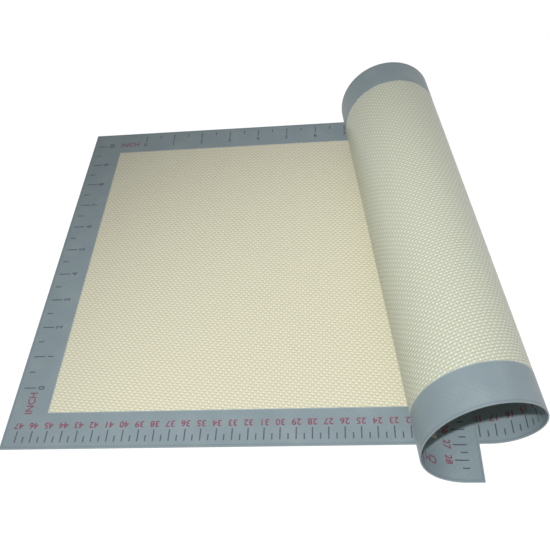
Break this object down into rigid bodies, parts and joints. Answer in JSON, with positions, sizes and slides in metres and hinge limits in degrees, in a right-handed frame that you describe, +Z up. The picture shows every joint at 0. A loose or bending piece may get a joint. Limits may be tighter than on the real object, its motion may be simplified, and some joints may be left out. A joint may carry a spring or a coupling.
{
  "type": "silicone baking mat",
  "caption": "Thin rectangular silicone baking mat with a woven core, a grey border with printed scales, lying flat at one end and rolled into a loose tube at the other.",
  "frame": {"origin": "On the flat underside, half way along the laid part and half way between the long edges. The left short edge lies 150.8 mm to -X.", "axes": "+X runs along the long edges from the left short edge towards the roll, +Y from the near long edge to the far one, +Z up, off the printed face of the laid part."},
  "size_m": [0.3315, 0.3399, 0.0664],
  "materials": {
    "woven_cloth": "plain-woven glass-fibre cloth, cream, sealed inside the silicone",
    "clear_silicone": "thin translucent silicone over the weave, soft satin sheen, cream",
    "grey_silicone": "opaque blue-grey silicone border, satin, faint weave showing through",
    "printed_ink": "dark slate silicone ink, matt"
  },
  "bodies": {
    "root": {"glass_fibre_cloth": "woven_cloth", "top_field_coat": "clear_silicone", "underside_field_coat": "clear_silicone", "top_border_coat": "grey_silicone", "underside_border_coat": "grey_silicone", "near_cm_ticks": "printed_ink", "right_cm_ticks": "printed_ink", "left_inch_ticks": "printed_ink", "far_inch_ticks": "printed_ink"}
  },
  "joints": []
}
